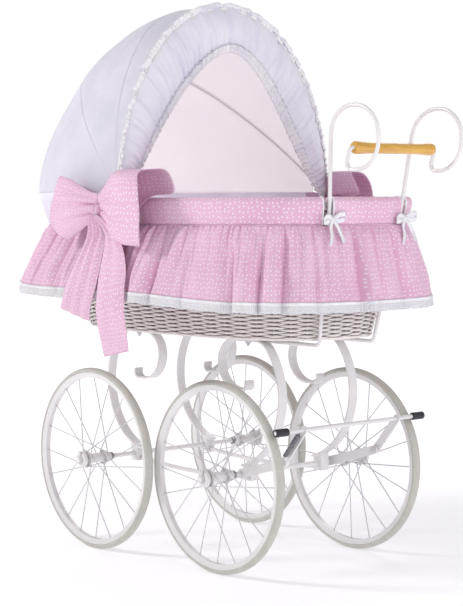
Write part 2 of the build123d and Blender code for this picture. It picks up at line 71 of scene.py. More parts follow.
# ---- Materials ----
class Nodes:
    """Short names for building a node tree round a Principled shader."""

    def __init__(self, name, **values):
        self.material = bpy.data.materials.new(name)
        self.material.use_nodes = True
        self.tree = self.material.node_tree
        self.shader = self.tree.nodes["Principled BSDF"]
        for key, value in values.items():
            self.shader.inputs[key.replace("_", " ")].default_value = value

    def add(self, kind, settings=None, **inputs):
        made = self.tree.nodes.new("ShaderNode" + kind)
        for key, value in (settings or {}).items():
            setattr(made, key, value)
        for key, value in inputs.items():
            socket = made.inputs[int(key[1:]) if key[1:].isdigit() else key.replace("_", " ")]
            if isinstance(value, bpy.types.NodeSocket):
                self.tree.links.new(value, socket)
            else:
                socket.default_value = value
        return made

    def place(self, source="object"):
        """Coordinates in metres: the piece's own, or the cloth's flat pattern."""
        if source == "cloth":
            return self.add("UVMap", {"uv_map": "cloth"}).outputs[0]
        return self.add("TexCoord").outputs["Object"]

    def noise(self, where, scale, detail=3.0, rough=0.55):
        return self.add("TexNoise", Vector=where, Scale=scale, Detail=detail, Roughness=rough).outputs["Fac"]

    def ramp(self, value, *stops):
        made = self.add("ValToRGB", Fac=value)
        elements = made.color_ramp.elements
        while len(elements) < len(stops):
            elements.new(0.5)
        for element, (at, colour) in zip(elements, stops):
            element.position = at
            element.color = (*colour, 1)
        return made.outputs["Color"]

    def mix(self, share, a, b):
        made = self.add("Mix", {"data_type": "RGBA"})
        for index, value in ((0, share), (6, a), (7, b)):
            if isinstance(value, bpy.types.NodeSocket):
                self.tree.links.new(value, made.inputs[index])
            else:
                made.inputs[index].default_value = value if index == 0 else (*value, 1)
        return made.outputs[2]

    def math(self, operation, a, b=0.0):
        return self.add("Math", {"operation": operation}, i0=a, i1=b).outputs[0]

    def colour(self, socket):
        self.tree.links.new(socket, self.shader.inputs["Base Color"])

    def link(self, socket, name):
        self.tree.links.new(socket, self.shader.inputs[name])

    def bump(self, height, distance, strength=1.0):
        made = self.add("Bump", Height=height, Distance=distance, Strength=strength)
        self.link(made.outputs[0], "Normal")


def weave_height(n, where, threads):
    """Height of a plain weave with this many threads per metre."""
    warp = n.add("TexWave", {"bands_direction": "X"}, Vector=where, Scale=threads / 6.2832, Distortion=1.2,
        Detail=1.0).outputs["Fac"]
    weft = n.add("TexWave", {"bands_direction": "Y"}, Vector=where, Scale=threads / 6.2832, Distortion=1.2,
        Detail=1.0).outputs["Fac"]
    return n.math("MAXIMUM", warp, weft)


def dotted_cotton(name, light, deep):
    n = Nodes(name, Roughness=0.86, Sheen_Weight=0.25, Sheen_Roughness=0.5)
    n.shader.inputs["Specular IOR Level"].default_value = 0.25
    cloth = n.place("cloth")
    dots = n.add("TexVoronoi", {"voronoi_dimensions": "2D"}, Vector=cloth, Scale=104.0,
        Randomness=0.52).outputs["Distance"]
    dot = n.ramp(dots, (0.12, (1, 1, 1)), (0.22, (0, 0, 0)))
    ground = n.ramp(n.noise(cloth, 9.0), (0.3, deep), (0.7, light))
    n.colour(n.mix(dot, ground, (0.93, 0.84, 0.90)))
    rumple = n.noise(n.place(), 28.0, 4.0)
    n.bump(n.math("ADD", n.math("MULTIPLY", weave_height(n, cloth, 1500), 0.12), rumple), 0.0022, 0.55)
    return n.material


def plain_cloth(name, light, deep, threads=1300, rough=0.85, alpha=1.0, rumple=0.002, source="cloth"):
    n = Nodes(name, Roughness=rough, Sheen_Weight=0.3, Sheen_Roughness=0.45, Alpha=alpha)
    n.shader.inputs["Specular IOR Level"].default_value = 0.25
    where = n.place(source)
    n.colour(n.ramp(n.noise(n.place(), 11.0, 4.0), (0.32, deep), (0.68, light)))
    n.bump(n.math("ADD", n.math("MULTIPLY", weave_height(n, where, threads), 0.15),
        n.noise(n.place(), 34.0, 4.0)), rumple, 0.5)
    return n.material


def lace(name):
    """White lace: a net ground with rows of round motifs and small holes."""
    n = Nodes(name, Roughness=0.7, Sheen_Weight=0.3)
    cloth = n.place("cloth")
    net = n.add("TexVoronoi", {"voronoi_dimensions": "2D", "feature": "DISTANCE_TO_EDGE"}, Vector=cloth,
        Scale=760.0, Randomness=0.5).outputs["Distance"]
    motif = n.add("TexVoronoi", {"voronoi_dimensions": "2D"}, Vector=cloth, Scale=260.0,
        Randomness=0.4).outputs["Distance"]
    thread = n.ramp(net, (0.10, (1, 1, 1)), (0.17, (0, 0, 0)))
    flower = n.ramp(motif, (0.30, (1, 1, 1)), (0.36, (0, 0, 0)))
    solid = n.math("MAXIMUM", thread, flower)
    n.link(n.math("MAXIMUM", solid, 0.8), "Alpha")
    n.colour(n.mix(solid, (0.88, 0.87, 0.94), (0.96, 0.95, 0.98)))
    n.bump(solid, 0.0006, 0.8)
    return n.material


def satin(name, light, deep):
    n = Nodes(name, Roughness=0.33, Anisotropic=0.5, Sheen_Weight=0.2)
    n.colour(n.ramp(n.noise(n.place(), 40.0, 2.0), (0.35, deep), (0.65, light)))
    n.bump(n.add("TexWave", {"bands_direction": "X"}, Vector=n.place("cloth"), Scale=240.0,
        Distortion=0.6).outputs["Fac"], 0.0003, 0.4)
    return n.material


def enamel(name, light, deep, rough=0.28, coat=0.5):
    """Sprayed gloss paint with a faint orange peel, and painted shade: the colour greys in hollows that ambient
    occlusion finds.
    """
    n = Nodes(name, Roughness=rough, Coat_Weight=coat, Coat_Roughness=0.12)
    where = n.place()
    hollow_shade = n.add("AmbientOcclusion", {"samples": 4}, Distance=0.02).outputs["AO"]
    ground = n.ramp(n.noise(where, 6.0, 3.0), (0.3, deep), (0.7, light))
    # Painted shade: mix toward grey where the ambient occlusion finds nearby surfaces.
    n.colour(n.mix(n.math("MULTIPLY", n.math("SUBTRACT", 1.0, hollow_shade), 0.5), ground, (0.42, 0.40, 0.40)))
    n.bump(n.noise(where, 420.0, 2.0), 0.0003, 0.25)
    return n.material


def moulded_rubber(name, light, deep, rough):
    n = Nodes(name, Roughness=rough)
    where = n.place()
    n.colour(n.ramp(n.noise(where, 24.0, 6.0, 0.7), (0.34, deep), (0.66, light)))
    n.bump(n.noise(where, 900.0, 3.0), 0.0004, 0.45)
    return n.material


def painted_willow():
    n = Nodes("painted_willow", Roughness=0.5)
    where = n.place("cloth")
    stretched = n.add("Mapping", Vector=where, Scale=(60.0, 900.0, 1.0)).outputs[0]
    grain = n.add("TexNoise", Vector=stretched, Scale=1.0, Detail=4.0).outputs["Fac"]
    hollow_shade = n.add("AmbientOcclusion", {"samples": 6}, Distance=0.012).outputs["AO"]
    ground = n.ramp(grain, (0.25, (0.76, 0.71, 0.68)), (0.6, (0.93, 0.89, 0.86)))
    # Painted shade: strands darken toward near black in the gaps where ambient occlusion finds nearby strands.
    dark = n.math("POWER", n.math("SUBTRACT", 1.0, hollow_shade), 1.4)
    n.colour(n.mix(dark, ground, (0.10, 0.05, 0.05)))
    n.bump(grain, 0.0005, 0.7)
    return n.material


def varnished_wood(name, light, deep, coat=0.7):
    n = Nodes(name, Roughness=0.36, Coat_Weight=coat, Coat_Roughness=0.08)
    stretched = n.add("Mapping", Vector=n.place(), Scale=(190.0, 9.0, 190.0)).outputs[0]
    grain = n.add("TexNoise", Vector=stretched, Scale=1.0, Detail=6.0, Roughness=0.6).outputs["Fac"]
    n.colour(n.ramp(grain, (0.28, deep), (0.5, light), (0.75, tuple(0.8 * c for c in light))))
    n.bump(grain, 0.0003, 0.4)
    return n.material


def wound_steel():
    n = Nodes("dark_wound_steel", Metallic=1.0, Roughness=0.35)
    n.colour(n.ramp(n.noise(n.place(), 200.0), (0.35, (0.20, 0.20, 0.22)), (0.65, (0.42, 0.41, 0.44))))
    n.bump(n.noise(n.place(), 1500.0), 0.0002, 0.3)
    return n.material


PINK_LIGHT, PINK_DEEP = (0.84, 0.55, 0.71), (0.77, 0.46, 0.64)
cotton = dotted_cotton("dotted_pink_cotton", PINK_LIGHT, PINK_DEEP)
bow_cotton = dotted_cotton("dotted_pink_ribbon", (0.85, 0.56, 0.72), (0.78, 0.47, 0.65))
white_satin = satin("white_satin", (0.93, 0.92, 0.94), (0.80, 0.79, 0.85))
# One white voile with two faces: the outer face's lavender-grey is painted shade, and the inner face is painted
# lighter cream.
voile_out = plain_cloth("white_voile", (0.82, 0.80, 0.89), (0.74, 0.72, 0.83), 900, rumple=0.007)
voile_in = plain_cloth("hood_inner_face_lit", (0.94, 0.92, 0.93), (0.89, 0.87, 0.90), 900, rumple=0.006)
# A faint glow stands in for the light that comes through the voile
glow = voile_in.node_tree.nodes["Principled BSDF"].inputs
glow["Emission Color"].default_value, glow["Emission Strength"].default_value = (0.98, 0.97, 0.98, 1), 0.34
frill_voile = plain_cloth("gathered_voile", (0.89, 0.87, 0.95), (0.80, 0.78, 0.90), 900, alpha=0.92)
lace_white = lace("white_lace")
mattress_cotton = plain_cloth("mattress_cotton", (0.90, 0.89, 0.90), (0.82, 0.81, 0.83), 1100, source="object")
willow = painted_willow()
white_enamel = enamel("white_enamel", (0.84, 0.82, 0.82), (0.77, 0.75, 0.76))
zinc = enamel("zinc_wire", (0.68, 0.67, 0.68), (0.58, 0.57, 0.59), 0.3, 0.2)
tyre_rubber = moulded_rubber("pale_tyre_rubber", (0.60, 0.585, 0.545), (0.52, 0.505, 0.46), 0.62)
black_rubber = moulded_rubber("black_rubber", (0.035, 0.035, 0.045), (0.018, 0.018, 0.022), 0.5)
grip_wood = varnished_wood("golden_varnish", (0.76, 0.42, 0.07), (0.52, 0.25, 0.03))
board_paint = enamel("white_board_paint", (0.74, 0.73, 0.71), (0.66, 0.65, 0.63), 0.6, 0.0)
coil_steel = wound_steel()

for name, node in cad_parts.items():
    node.data.materials.clear()
    if name.startswith("tyre"):
        finish = tyre_rubber
    elif name == "axle_nuts":
        finish = coil_steel
    elif name == "brake_pads":
        finish = black_rubber
    elif name == "wooden_grip":
        finish = grip_wood
    elif name == "base_board":
        finish = board_paint
    elif name.startswith(("spokes", "axle_clips", "basket_studs", "brake_pivot")):
        finish = zinc
    else:
        finish = white_enamel
    node.data.materials.append(finish)


# ---- Pieces ----
def surface(name, points, body, material, closed=False, uv=None, thick=0.0, extra=(), replaces=()):
    """Smooth grid of quads through points[row, column]. uv is the cloth's flat pattern in metres, with one
    column more than points where the grid is closed."""
    rows, cols = points.shape[:2]
    across = cols if closed else cols - 1
    r, c = np.meshgrid(np.arange(rows - 1), np.arange(across), indexing="ij")
    nxt = (c + 1) % cols
    faces = np.stack([r * cols + c, r * cols + nxt, (r + 1) * cols + nxt, (r + 1) * cols + c], -1).reshape(-1, 4)
    mesh = bpy.data.meshes.new(name)
    mesh.from_pydata(points.reshape(-1, 3).tolist(), [], faces.tolist())
    if uv is None:
        s = np.linspace(0, 1, cols + closed)[None, :] * np.linalg.norm(np.diff(points[0], axis=0), axis=1).sum()
        v = np.linspace(0, 1, rows)[:, None] * np.linalg.norm(np.diff(points[:, 0], axis=0), axis=1).sum()
        uv = np.stack(np.broadcast_arrays(s, v), -1)
    corner = np.stack([uv[r, c], uv[r, c + 1], uv[r + 1, c + 1], uv[r + 1, c]], 2).reshape(-1, 2)
    mesh.uv_layers.new(name="cloth").data.foreach_set("uv", corner.astype(np.float32).ravel())
    mesh.polygons.foreach_set("use_smooth", np.ones(len(faces), bool))
    for each in (material, *extra):
        mesh.materials.append(each)
    mesh.update()
    piece = bpy.data.objects.new(name, mesh)
    bpy.context.collection.objects.link(piece)
    if thick:
        shell = piece.modifiers.new("thickness", "SOLIDIFY")
        shell.thickness = thick
        shell.offset = 0
    finish_piece(piece, body, replaces)
    return piece


def finish_piece(piece, body, replaces=()):
    if body:
        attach(piece, body)
    if replaces:
        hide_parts(*replaces)


def join(name, pieces):
    """One object from several, under the first one's name."""
    bpy.ops.object.select_all(action="DESELECT")
    for piece in pieces:
        piece.select_set(True)
    bpy.context.view_layer.objects.active = pieces[0]
    for piece in pieces:
        if piece.modifiers:
            with bpy.context.temp_override(object=piece):
                for modifier in list(piece.modifiers):
                    bpy.ops.object.modifier_apply(modifier=modifier.name)
    bpy.ops.object.join()
    pieces[0].name = name
    return pieces[0]


def frames_along(path, closed=False):
    """Tangent and two normals at each point of a path, without twist."""
    if closed:
        tangent = np.roll(path, -1, 0) - np.roll(path, 1, 0)
    else:
        tangent = np.gradient(path, axis=0)
    tangent /= np.linalg.norm(tangent, axis=1)[:, None]
    up = np.array([0.0, 0.0, 1.0]) if abs(tangent[0][2]) < 0.9 else np.array([1.0, 0.0, 0.0])
    side = np.zeros_like(path)
    for i, t in enumerate(tangent):
        up = up - t * np.dot(up, t)
        up /= np.linalg.norm(up)
        side[i] = up
    return tangent, side, np.cross(tangent, side)


def tube(name, path, radius, body, material, sides=8, closed=False, replaces=()):
    """Round bar along a path."""
    path = np.asarray(path, float)
    _, up, out = frames_along(path, closed)
    a = np.linspace(0, 2 * pi, sides, endpoint=False)
    radius = np.broadcast_to(radius, len(path))[:, None, None]
    ring = up[:, None] * np.cos(a)[None, :, None] + out[:, None] * np.sin(a)[None, :, None]
    points = path[:, None] + ring * radius
    if closed:
        points = np.concatenate([points, points[:1]])
    else:
        points = np.concatenate([path[:1, None] + 0 * points[:1], points, path[-1:, None] + 0 * points[:1]])
    run = np.concatenate([[0], np.cumsum(np.linalg.norm(np.diff(points.mean(1), axis=0), axis=1))])
    uv = np.stack(np.broadcast_arrays(run[:, None], np.linspace(0, 0.02, sides + 1)[None]), -1)
    return surface(name, points, body, material, closed=True, uv=uv, replaces=replaces)


def smooth_path(points, count):
    """Catmull-Rom curve through a few control points."""
    p = np.asarray(points, float)
    p = np.concatenate([2 * p[:1] - p[1:2], p, 2 * p[-1:] - p[-2:-1]])
    at = np.linspace(0, len(p) - 3, count)
    i = np.minimum(at.astype(int), len(p) - 4)
    f = (at - i)[:, None]
    a, b, c, d = p[i], p[i + 1], p[i + 2], p[i + 3]
    return 0.5 * (2 * b + (c - a) * f + (2 * a - 5 * b + 4 * c - d) * f**2 + (3 * b - a - 3 * c + d) * f**3)


def waves(s, length, pitch, spread=0.3, count=4, periodic=True):
    """Uneven folds: sines of nearby pitches, with deeper valleys than crests."""
    total = 0
    for _ in range(count):
        turns = length / pitch * (1 + rng.uniform(-spread, spread))
        turns = round(turns) if periodic else turns
        total = total + rng.uniform(0.6, 1.0) * np.sin(2 * pi * turns * s / length + rng.uniform(0, 2 * pi))
    total = total / count**0.5
    return total - 0.22 * total * total


# ---- Outlines ----
def oval(half_x, half_y, middle, t):
    """Points and outward normals of a superellipse."""
    c, s = np.cos(t), np.sin(t)
    x = middle + half_x * np.sign(c) * abs(c) ** (2 / POWER)
    y = half_y * np.sign(s) * abs(s) ** (2 / POWER)
    nx = np.sign(c) * abs(c) ** (2 - 2 / POWER) / half_x
    ny = np.sign(s) * abs(s) ** (2 - 2 / POWER) / half_y
    size = np.hypot(nx, ny)
    return x, y, nx / size, ny / size


def even_turns(count, start=0.0, stop=1.0, closed=True):
    """Superellipse parameters that step evenly along the rim; 0 is the handle end's middle."""
    dense = np.linspace(0, 2 * pi, 40001)
    x, y, _, _ = oval(0.46, 0.285, 0, dense)
    run = np.concatenate([[0], np.cumsum(np.hypot(np.diff(x), np.diff(y)))])
    at = np.linspace(start, stop, count, endpoint=not closed)
    whole = np.floor(at)
    return np.interp((at - whole) * run[-1], run, dense) + 2 * pi * whole


def share_at(y):
    """Share of the rim's run from the handle end's middle to where its Y is this."""
    t = even_turns(8001, closed=False)
    _, py, _, _ = oval(0.452, 0.270, 0, t[:1500])
    return float(np.interp(y, py, np.linspace(0, 1, 8001)[:1500]))


def wall(z, grow=0.0):
    share = (z - FLOOR_Z) / (RIM_Z - FLOOR_Z)
    return lerp(0.376, 0.452, share) + grow, lerp(0.191, 0.269, share) + grow, MID - lerp(0.008, 0.022, share)


def skirt_line(z):
    share = (BAND_LOW - z) / (BAND_LOW - HEM)
    top = wall(BAND_LOW, 0.017)
    return lerp(top[0], 0.517, share), lerp(top[1], 0.332, share), lerp(top[2], MID - 0.034, share)


def ring_rows(t, levels, outline=wall):
    """Rows round the basket; each level is (height, outward offset), numbers or arrays over t."""
    rows = []
    for z, out in levels:
        x, y, nx, ny = oval(*outline(np.mean(z)), t)
        rows.append(np.stack(np.broadcast_arrays(x + nx * out, y + ny * out, z), -1))
    return np.array(rows)


RIM_RUN = 2.42  # rim's length


# ---- Wicker ----
STAKES = 54
ROW = 0.0042


def strand(name, t, outline, z, sway, tall, deep, sides, drift=0.0):
    """One flat willow strand on a closed course; every measure may vary from point to point."""
    x, y, nx, ny = oval(*outline, t)
    out = np.stack([nx, ny, 0 * nx], -1)
    centre = np.stack([x + nx * sway, y + ny * sway, z + 0 * x], -1)
    a = np.linspace(0, 2 * pi, sides, endpoint=False)
    deep, tall = np.broadcast_to(deep, len(t)), np.broadcast_to(tall, len(t))
    ring = out[:, None] * (deep[:, None] * np.sin(a))[..., None]
    ring = ring + np.array([0, 0, 1.0]) * (tall[:, None] * np.cos(a))[..., None]
    points = centre[:, None] + ring
    points = np.concatenate([points, points[:1]])
    uv = np.stack(np.broadcast_arrays(np.linspace(0, RIM_RUN, len(points))[:, None],
        np.linspace(0, 0.02, sides + 1)[None] + drift), -1)
    return surface(name, points, None, willow, closed=True, uv=uv)


def weave_rows():
    """Plain weave: each row passes in front of every second stake, and the next row behind it."""
    made = []
    for k, z in enumerate(np.arange(0.4885, 0.748, ROW)):
        steps, sides = (6, 6) if z < 0.61 else (4, 4)
        t = even_turns(STAKES * steps)
        front = np.cos(np.arange(len(t)) * pi / steps + pi * k)
        wobble = 0.0003 * rng.standard_normal(len(t))
        made.append(strand(f"weave_{k}", t, wall(z), z + wobble, -0.0042 + 0.0030 * front,
            0.0024 + 0.0008 * front + wobble / 2, 0.0015, sides, 0.03 * k))
    return made


def weave_base():
    """Rounds of the same strand under the floor, and the thick one at its edge."""
    half_x, half_y, middle = wall(0.4845)
    t = even_turns(STAKES * 6)
    made = [strand("foot", t, (half_x, half_y, middle), 0.4866, -0.0030, 0.0034, 0.0036, 8)]
    for k in range(13):
        shrink = 0.010 + 0.0140 * k
        z = 0.4872 + 0.0012 * np.cos(np.arange(len(t)) * 2 * pi / 6 + pi * k)
        made.append(strand(f"base_weave_{k}", t, (half_x - shrink, half_y - shrink, middle), z, 0.0, 0.0024,
            0.0070, 6, 0.03 * k))
    return made


def stakes():
    made = []
    for k, one in enumerate(even_turns(STAKES)):
        heights = np.linspace(0.4860, 0.750, 12)
        path = [ring_rows(np.array([one]), [(z, -0.0042)])[0][0] for z in heights]
        made.append(tube(f"stake_{k}", path, 0.0019, None, willow, sides=6))
    return made


def braid():
    """Three strands twisted round the rim."""
    made = []
    t = even_turns(760)
    turn = np.linspace(0, 2 * pi * 76, len(t), endpoint=False)
    for k in range(3):
        a = turn + 2 * pi * k / 3
        path = ring_rows(t, [(0.7563, -0.004 + 0.0030 * np.cos(a))])[0]
        path[:, 2] += 0.0034 * np.sin(a)
        made.append(tube(f"braid_{k}", path, 0.0034, None, willow, sides=6, closed=True))
    return made


basket = join("woven_basket", weave_rows() + weave_base() + stakes())
finish_piece(basket, "chassis", ["wicker_basket"])
border = join("braided_border", braid())
finish_piece(border, "chassis", ["wicker_border"])

# ---- Skirt with its lace edge ----
SKIRT_COLS = 1680
turns = even_turns(SKIRT_COLS)
run = np.arange(SKIRT_COLS) / SKIRT_COLS * RIM_RUN


def pleats(count, jitter, flattest=0.5):
    """Uneven rounded folds round the rim: their places, and a height and a length for each."""
    edges = (np.arange(count) + rng.uniform(-jitter, jitter, count)) * RIM_RUN / count
    return np.append(edges, edges[0] + RIM_RUN), rng.uniform(flattest, 1, count), rng.uniform(0, 1, count)


def crests(folds, s):
    """0 in the valleys and up to 1 on the crests, and which fold each point is on."""
    edges, heights, lengths = folds
    s = (s - edges[0]) % RIM_RUN + edges[0]
    i = np.clip(np.searchsorted(edges, s, side="right") - 1, 0, len(heights) - 1)
    share = (s - edges[i]) / (edges[i + 1] - edges[i])
    return np.sin(pi * np.clip(share, 0, 1)) ** 0.72 * heights[i], lengths[i]


main_folds, half_folds, gathers = pleats(38, 0.38, 0.35), pleats(84, 0.38, 0.2), pleats(170, 0.3)
# The hem rises over LACE_TOP, less so toward the handle end
slow = waves(run, RIM_RUN, 0.30, 0.4, 3)
reach = ease((np.cos(turns) * 0.5 - 0.02) / 0.30)
hem_lift = 0.0175 - 0.0135 * reach


def skirt_rows(shares):
    """Rows of the gathered cloth, from the seam (0) to the hem (1)."""
    rows = []
    for v in shares:
        s = run + 0.016 * v * slow
        big, _ = crests(main_folds, s)
        half, length = crests(half_folds, s)
        small, short = crests(gathers, run)
        out = -0.0095 + 0.004 * ease(v * 5) + 0.0030 * slow * v
        out = out + (big - 0.35) * (0.004 + 0.027 * ease(v * 1.15 + 0.10))
        out = out + half * 0.0115 * ease(v * 7 + 0.2) * (1 - 0.8 * ease((v - 0.3 - 0.5 * length) / 0.4))
        out = out + small * 0.0068 * (1 - ease(v / (0.12 + 0.4 * short)))
        z = lerp(BAND_LOW - 0.0005, LACE_TOP, v) + (hem_lift + 0.003 * (big - 0.5)) * v
        x, y, nx, ny = oval(*skirt_line(lerp(BAND_LOW, LACE_TOP, v)), turns)
        rows.append(np.stack([x + nx * out, y + ny * out, z], -1))
    return np.array(rows)


shares = np.linspace(0, 1, 30) ** 1.25
cloth_run = np.linspace(0, RIM_RUN * 1.55, SKIRT_COLS + 1)
skirt_uv = np.stack(np.broadcast_arrays(cloth_run[None], (shares * 0.155)[:, None]), -1)
skirt_points = skirt_rows(shares)
skirt = surface("gathered_skirt", skirt_points, "chassis", cotton, closed=True, uv=skirt_uv,
    thick=0.0012, replaces=["skirt"])

hem_row = skirt_points[-1]
x, y, nx, ny = oval(*skirt_line(LACE_TOP), turns)
out = np.stack([nx, ny, 0 * nx], -1)
scallop = 0.0016 * abs(np.sin(pi * run / 0.0105))
lace_rows = [hem_row + out * (0.0008 + 0.0022 * v) - np.array([0, 0, 0.0185]) * v
    - np.array([0, 0, 1.0]) * scallop[:, None] * (v == 1) for v in (0, 0.12, 0.4, 0.7, 0.9, 1)]
lace_uv = np.stack(np.broadcast_arrays(cloth_run[None], np.array([0, 0.12, 0.4, 0.7, 0.9, 1])[:, None] * 0.019),
    -1)
hem_lace = surface("hem_lace_edge", np.array(lace_rows), "chassis", lace_white, closed=True,
    uv=lace_uv, thick=0.0008, replaces=["hem_lace"])
satin_rows = [hem_row + out * (0.0011 + 0.0012 * sin(pi * v))
    + np.array([0, 0, 0.0022 - 0.0060 * v]) for v in np.linspace(0, 1, 5)]
hem_satin = surface("hem_satin_line", np.array(satin_rows), "chassis", white_satin, closed=True,
    uv=None, thick=0.0006)

# ---- Padded band round the rim, open where the wires pass ----
slot_from, slot_to = share_at(0.094), share_at(0.114)
profile = np.array([
    (0.0052, 0.7172), (0.0100, 0.7168), (0.0122, 0.7200), (0.0132, 0.730), (0.0136, 0.742), (0.0132, 0.754),
        (0.0112, 0.7635),
    (0.0065, 0.7700), (-0.0005, 0.7726), (-0.0080, 0.7724), (-0.0145, 0.7694), (-0.0186, 0.7630),
        (-0.0200, 0.752),
    (-0.0200, 0.738), (-0.0194, 0.726), (-0.0178, 0.7185), (-0.0140, 0.7172), (-0.0128, 0.7215), (-0.0126, 0.742),
    (-0.0124, 0.7644), (-0.0040, 0.7650), (0.0044, 0.7648), (0.0048, 0.742), (0.0048, 0.7215),
])


def band_piece(name, start, stop, replaces=()):
    count = ceil((stop - start) * 620) + 2
    t = even_turns(count, start, stop, closed=False)
    s = np.linspace(start, stop, count) * RIM_RUN
    soft = 0.0006 * waves(s, RIM_RUN, 0.05, 0.4, 4) + 0.0005 * waves(s, RIM_RUN, 0.017, 0.4, 3)
    pucker = 0.0007 * waves(s, RIM_RUN, 0.010, 0.3, 3)
    rows = []
    for offset, z in profile:
        seam = max(0.0, 1 - abs(z - 0.7172) / 0.014)
        rows.append((z + 0 * s + soft * 0.6, offset + soft + pucker * seam * (offset > 0)))
    points = []
    for (z, offset), (_, height) in zip(rows, profile):
        x, y, nx, ny = oval(*wall(height), t)
        points.append(np.stack([x + nx * offset, y + ny * offset, z], -1))
    points = np.array(points).transpose(1, 0, 2)
    first, last = points[:1].mean(1, keepdims=True), points[-1:].mean(1, keepdims=True)
    points = np.concatenate([first + 0 * points[:1], points, last + 0 * points[:1]])
    around = np.concatenate([[0], np.cumsum(np.linalg.norm(np.diff(np.concatenate([profile, profile[:1]]),
        axis=0), axis=1))])
    uv = np.stack(np.broadcast_arrays(np.concatenate([s[:1], s, s[-1:]])[:, None], around[None]), -1)
    piece = surface(name, points, "chassis", cotton, closed=True, uv=uv, replaces=replaces)
    return points


band_main = band_piece("rim_band_back", slot_to, 1 - slot_to, ["rim_band"])
band_front = band_piece("rim_band_front", -slot_from, slot_from)
bindings = []
for k, loop in enumerate((band_main[1], band_main[-2], band_front[1], band_front[-2])):
    bindings.append(tube(f"binding_{k}", loop, 0.0019, None, white_satin, sides=8, closed=True))
binding = join("slot_bindings", bindings)
finish_piece(binding, "chassis")
piping = []
for k, (start, stop) in enumerate(((slot_to, 1 - slot_to), (-slot_from, slot_from))):
    t = even_turns(ceil((stop - start) * 620) + 2, start, stop, closed=False)
    piping.append(tube(f"piping_{k}", ring_rows(t, [(0.7165, 0.0122)])[0], 0.0013, None, cotton,
        sides=6))
piping = join("band_piping", piping)
finish_piece(piping, "chassis")

# ---- Liner and mattress ----
t = even_turns(640)
s = np.arange(640) / 640 * RIM_RUN
channel = abs(np.sin(pi * s / (RIM_RUN / 38))) ** 0.55
heights = np.linspace(0.4985, 0.7135, 26)
liner_levels = []
for z in heights:
    edge = sin(pi * (z - heights[0]) / (heights[-1] - heights[0])) ** 0.35
    quilt = abs(sin(pi * (z - heights[0]) / 0.0717)) ** 0.5
    liner_levels.append((z, -0.0098 - 0.0078 * channel * edge * (0.35 + 0.65 * quilt)))
outer_levels = [(z, -0.0092) for z in heights[::-1]]
liner_points = ring_rows(t, outer_levels + liner_levels)
liner_uv = np.stack(np.broadcast_arrays(np.linspace(0, RIM_RUN, 641)[None],
    np.concatenate([heights[::-1] + 0.3, heights])[:, None]), -1)
liner = surface("quilted_liner", liner_points, "chassis", cotton, closed=True, uv=liner_uv,
    replaces=["padded_liner"])


def cushion_mesh(name, half_x, half_y, middle, low, high):
    """Closed superellipse slab with rounded edges, slightly smaller than the mattress will be."""
    t = even_turns(160)
    thick = high - low
    rows = [[(middle, 0, low)] * len(t)]
    for share in (0.4, 0.8, 0.95):
        x, y, _, _ = oval(half_x * share, half_y * share, middle, t)
        rows.append(np.stack([x, y, 0 * x + low], -1))
    for a in np.linspace(-pi / 2, pi / 2, 9):
        inset = thick / 2 * (1 - cos(a))
        x, y, _, _ = oval(half_x - inset, half_y - inset, middle, t)
        rows.append(np.stack([x, y, 0 * x + (low + high) / 2 + thick / 2 * sin(a)], -1))
    for share in (0.95, 0.8, 0.4):
        x, y, _, _ = oval(half_x * share, half_y * share, middle, t)
        rows.append(np.stack([x, y, 0 * x + high], -1))
    rows.append([(middle, 0, high)] * len(t))
    return surface(name, np.array(rows), "chassis", mattress_cotton, closed=True,
        replaces=["mattress"])


def inflate(piece, voxel, frames, pressure, cap):
    """Cloth with air pressure swells the piece; no point moves further than cap."""
    remesh = piece.modifiers.new("remesh", "REMESH")
    remesh.mode = "VOXEL"
    remesh.voxel_size = voxel
    with bpy.context.temp_override(object=piece):
        bpy.ops.object.modifier_apply(modifier="remesh")
    count = len(piece.data.vertices)
    rest = np.empty(count * 3)
    piece.data.vertices.foreach_get("co", rest)
    rest = rest.reshape(-1, 3)
    cloth = piece.modifiers.new("cloth", "CLOTH")
    cloth.settings.use_pressure = True
    cloth.settings.uniform_pressure_force = pressure
    cloth.settings.effector_weights.gravity = 0
    cloth.settings.quality = 4
    cloth.point_cache.frame_start = 1
    cloth.point_cache.frame_end = frames
    for f in range(1, frames + 1):
        bpy.context.scene.frame_set(f)
    shaped = piece.evaluated_get(bpy.context.evaluated_depsgraph_get()).data
    moved = np.empty(count * 3)
    shaped.vertices.foreach_get("co", moved)
    step = moved.reshape(-1, 3) - rest
    far = np.linalg.norm(step, axis=1)[:, None]
    rest = rest + step * np.minimum(1, cap / np.maximum(far, 1e-9))
    piece.modifiers.remove(cloth)
    bpy.context.scene.frame_set(1)
    rest[:, 2] = np.maximum(rest[:, 2], 0.4967)
    piece.data.vertices.foreach_set("co", rest.ravel())
    piece.data.polygons.foreach_set("use_smooth", np.ones(len(piece.data.polygons), bool))
    piece.data.update()


bed_x, bed_y, bed_middle = wall(0.491, -0.024)
mattress = cushion_mesh("mattress_pad", bed_x, bed_y, bed_middle, 0.4975, 0.551)
inflate(mattress, 0.007, 14, 3.0, 0.007)
pipes = []
for k, z in enumerate((0.5065, 0.5475)):
    x, y, _, _ = oval(bed_x + 0.005, bed_y + 0.005, bed_middle, even_turns(300))
    pipes.append(tube(f"mattress_pipe_{k}", np.stack([x, y, 0 * x + z], -1), 0.0022, None, mattress_cotton,
        sides=6, closed=True))
pipes = join("mattress_piping", pipes)
finish_piece(pipes, "chassis")


# ---- Hood ----
def even_curve(y, r, count):
    run = np.concatenate([[0], np.cumsum(np.hypot(np.diff(y), np.diff(r)))])
    at = np.linspace(0, run[-1], count)
    return np.interp(at, run, y), np.interp(at, run, r)


